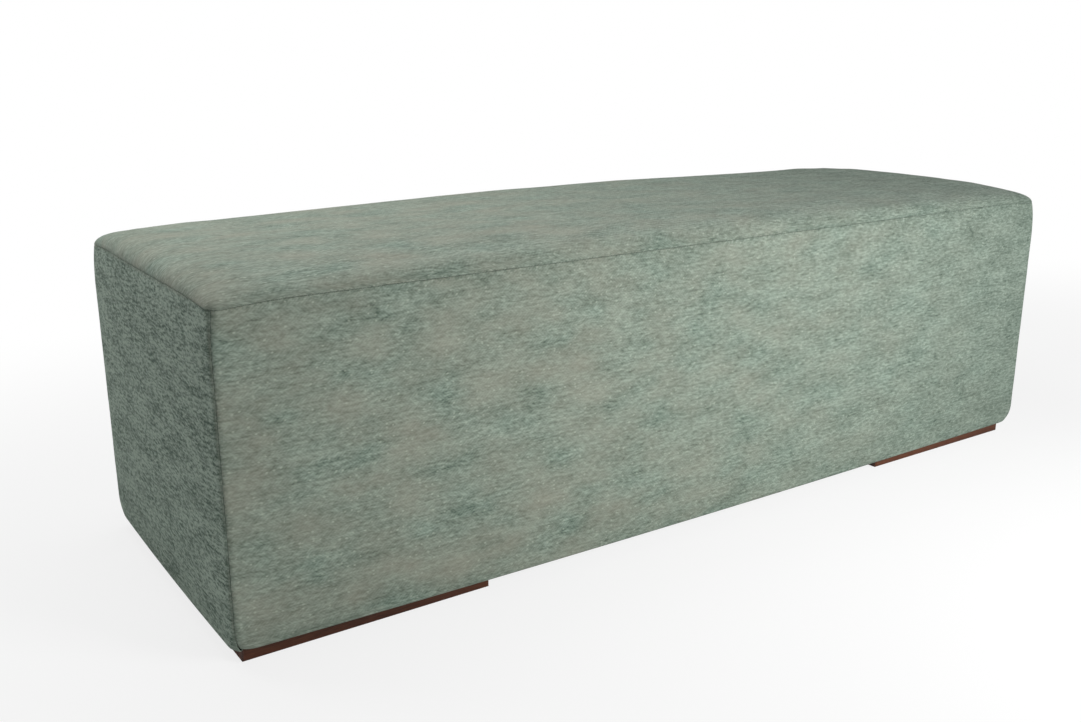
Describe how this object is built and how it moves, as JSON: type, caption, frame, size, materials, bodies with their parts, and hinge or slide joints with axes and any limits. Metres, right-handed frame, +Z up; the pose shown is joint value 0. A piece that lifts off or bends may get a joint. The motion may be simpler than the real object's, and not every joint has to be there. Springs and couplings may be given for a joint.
{
  "type": "bench pouf",
  "caption": "Long rectangular upholstered pouf in herringbone tweed with a softly crowned seat, on two low dark wooden plinths.",
  "frame": {"origin": "on the floor under the middle of the pouf", "axes": "+X along the length, +Y from front to back, +Z up"},
  "size_m": [1.4, 0.475, 0.435],
  "materials": {
    "cover_fabric": "herringbone tweed, grey-green",
    "wadding": "polyester wadding",
    "foam": "polyether foam",
    "plywood": "raw plywood",
    "steel_wire": "galvanised wire",
    "hardboard": "hardboard",
    "softwood": "planed pine",
    "dust_cloth": "black spunbonded cloth",
    "plinth_wood": "dark stained hardwood, satin lacquer",
    "screw_steel": "yellow zinc plated",
    "felt": "pressed felt"
  },
  "bodies": {
    "root": {"cover_top": "cover_fabric", "cover_front": "cover_fabric", "cover_back": "cover_fabric", "cover_left": "cover_fabric", "cover_right": "cover_fabric", "seat_wadding": "wadding", "seat_foam": "foam", "side_foam_front": "foam", "side_foam_back": "foam", "side_foam_left": "foam", "side_foam_right": "foam", "seat_deck": "plywood", "deck_staples": "steel_wire", "skin_front": "hardboard", "skin_back": "hardboard", "skin_left": "hardboard", "skin_right": "hardboard", "bottom_rail_front": "softwood", "bottom_rail_back": "softwood", "top_rail_front": "softwood", "top_rail_back": "softwood", "corner_blocks": "softwood", "bottom_bar_1": "softwood", "top_bar_1": "softwood", "post_front_1": "softwood", "post_back_1": "softwood", "bottom_bar_2": "softwood", "top_bar_2": "softwood", "post_front_2": "softwood", "post_back_2": "softwood", "bottom_bar_3": "softwood", "top_bar_3": "softwood", "post_front_3": "softwood", "post_back_3": "softwood", "bottom_bar_4": "softwood", "top_bar_4": "softwood", "post_front_4": "softwood", "post_back_4": "softwood", "bottom_bar_5": "softwood", "top_bar_5": "softwood", "post_front_5": "softwood", "post_back_5": "softwood", "dust_cover": "dust_cloth", "plinth_left_front": "plinth_wood", "plinth_left_back": "plinth_wood", "plinth_left_outer": "plinth_wood", "plinth_left_inner": "plinth_wood", "plinth_screws_left": "screw_steel", "felt_pads_left": "felt", "plinth_right_front": "plinth_wood", "plinth_right_back": "plinth_wood", "plinth_right_outer": "plinth_wood", "plinth_right_inner": "plinth_wood", "plinth_screws_right": "screw_steel", "felt_pads_right": "felt"}
  },
  "joints": []
}
